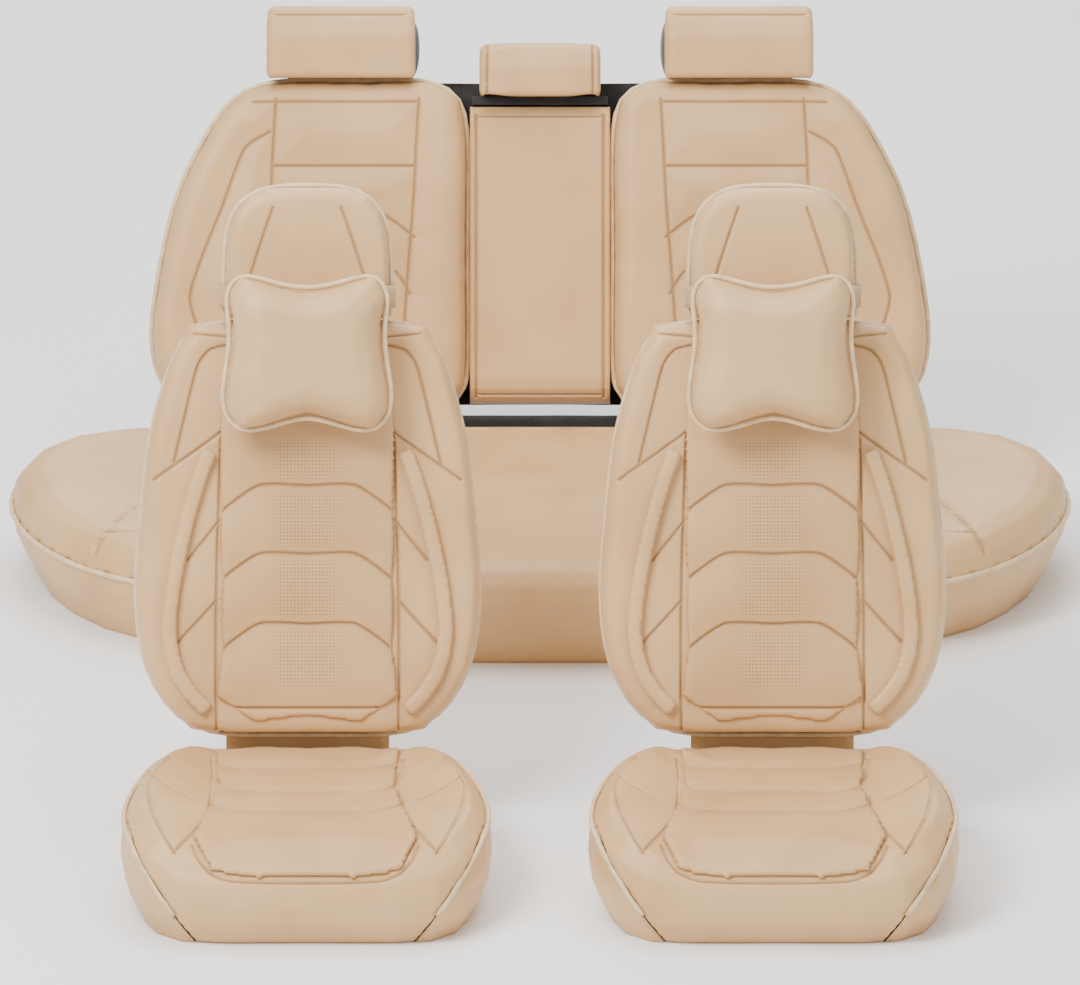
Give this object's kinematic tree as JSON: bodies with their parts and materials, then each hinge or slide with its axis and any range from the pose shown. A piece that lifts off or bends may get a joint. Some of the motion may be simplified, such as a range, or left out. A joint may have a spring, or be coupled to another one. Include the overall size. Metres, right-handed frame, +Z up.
{
  "type": "seat cover set",
  "caption": "Padded leatherette cover set for bucket seats and a bench: hollow cushion, back, headrest and armrest covers with piping, neck pillows and black stretch backing.",
  "frame": {"origin": "centre of the whole set's footprint, on the surface it stands on", "axes": "+X to the set's right as seen from the front, +Y from the front seats to the rear bench (the longest extent), +Z up (the shortest extent)"},
  "size_m": [1.4974, 1.967, 0.8692],
  "materials": {
    "leather": "semi-gloss grained leatherette",
    "perforated_leather": "perforated satin leatherette",
    "pillow_leather": "soft satin leatherette",
    "piping": "satin piping",
    "black_fabric": "matte black stretch fabric",
    "webbing": "matte woven webbing",
    "buckle_plastic": "satin black plastic"
  },
  "bodies": {
    "covers": {"bench_piping": "piping", "bench_skirt": "leather", "bench_top": "leather", "left_cushion_insert": "perforated_leather", "left_cushion_piping": "piping", "left_cushion_skirt": "leather", "left_cushion_top": "leather", "left_strap_buckle": "buckle_plastic", "left_strap_front": "webbing", "left_strap_rear": "webbing", "left_tuck_flap": "black_fabric", "rear_backing": "black_fabric", "rear_centre_top": "black_fabric", "rear_left_back_cover": "leather", "rear_left_back_piping": "piping", "rear_right_back_cover": "leather", "rear_right_back_piping": "piping", "rear_tuck_flap": "black_fabric", "right_cushion_insert": "perforated_leather", "right_cushion_piping": "piping", "right_cushion_skirt": "leather", "right_cushion_top": "leather", "right_strap_buckle": "buckle_plastic", "right_strap_front": "webbing", "right_strap_rear": "webbing", "right_tuck_flap": "black_fabric"},
    "left_back": {"left_back_face": "leather", "left_back_hem_tube": "webbing", "left_back_insert": "perforated_leather", "left_back_piping": "piping", "left_back_rear_panel": "leather", "left_back_rib_left": "leather", "left_back_rib_right": "leather", "left_back_side_panel": "leather", "left_map_pocket": "leather"},
    "left_headrest": {"left_headrest_front": "leather", "left_headrest_piping": "piping", "left_headrest_shell": "leather"},
    "left_neck_pillow": {"left_pillow": "pillow_leather", "left_pillow_piping": "piping", "left_pillow_strap": "webbing"},
    "right_back": {"right_back_face": "leather", "right_back_hem_tube": "webbing", "right_back_insert": "perforated_leather", "right_back_piping": "piping", "right_back_rear_panel": "leather", "right_back_rib_left": "leather", "right_back_rib_right": "leather", "right_back_side_panel": "leather", "right_map_pocket": "leather"},
    "right_headrest": {"right_headrest_front": "leather", "right_headrest_piping": "piping", "right_headrest_shell": "leather"},
    "right_neck_pillow": {"right_pillow": "pillow_leather", "right_pillow_piping": "piping", "right_pillow_strap": "webbing"},
    "armrest": {"armrest_cover": "leather"},
    "rear_left_headrest": {"rear_left_headrest_cover": "leather"},
    "rear_centre_headrest": {"rear_centre_headrest_cover": "leather"},
    "rear_right_headrest": {"rear_right_headrest_cover": "leather"}
  },
  "joints": [
    {"name": "left_recline", "type": "hinge", "parent": "covers", "child": "left_back", "pos_m": [-0.319, -0.52251, 0.15], "axis": [-1, 0, 0], "range_deg": [-18, 30]},
    {"name": "left_headrest_lift", "type": "slide", "parent": "left_back", "child": "left_headrest", "axis": [0, 0.309, 0.9511], "range_m": [0, 0.06]},
    {"name": "left_pillow_slide", "type": "slide", "parent": "left_headrest", "child": "left_neck_pillow", "axis": [0, 0.309, 0.9511], "range_m": [-0.012, 0.035]},
    {"name": "right_recline", "type": "hinge", "parent": "covers", "child": "right_back", "pos_m": [0.319, -0.52251, 0.15], "axis": [-1, 0, 0], "range_deg": [-18, 30]},
    {"name": "right_headrest_lift", "type": "slide", "parent": "right_back", "child": "right_headrest", "axis": [0, 0.309, 0.9511], "range_m": [0, 0.06]},
    {"name": "right_pillow_slide", "type": "slide", "parent": "right_headrest", "child": "right_neck_pillow", "axis": [0, 0.309, 0.9511], "range_m": [-0.012, 0.035]},
    {"name": "armrest_fold", "type": "hinge", "parent": "covers", "child": "armrest", "pos_m": [0, 0.78896, 0.18775], "axis": [1, 0, 0], "range_deg": [0, 110]},
    {"name": "rear_left_headrest_lift", "type": "slide", "parent": "covers", "child": "rear_left_headrest", "axis": [0, 0.342, 0.9397], "range_m": [0, 0.05]},
    {"name": "rear_centre_headrest_lift", "type": "slide", "parent": "covers", "child": "rear_centre_headrest", "axis": [0, 0.342, 0.9397], "range_m": [0, 0.05]},
    {"name": "rear_right_headrest_lift", "type": "slide", "parent": "covers", "child": "rear_right_headrest", "axis": [0, 0.342, 0.9397], "range_m": [0, 0.05]}
  ]
}
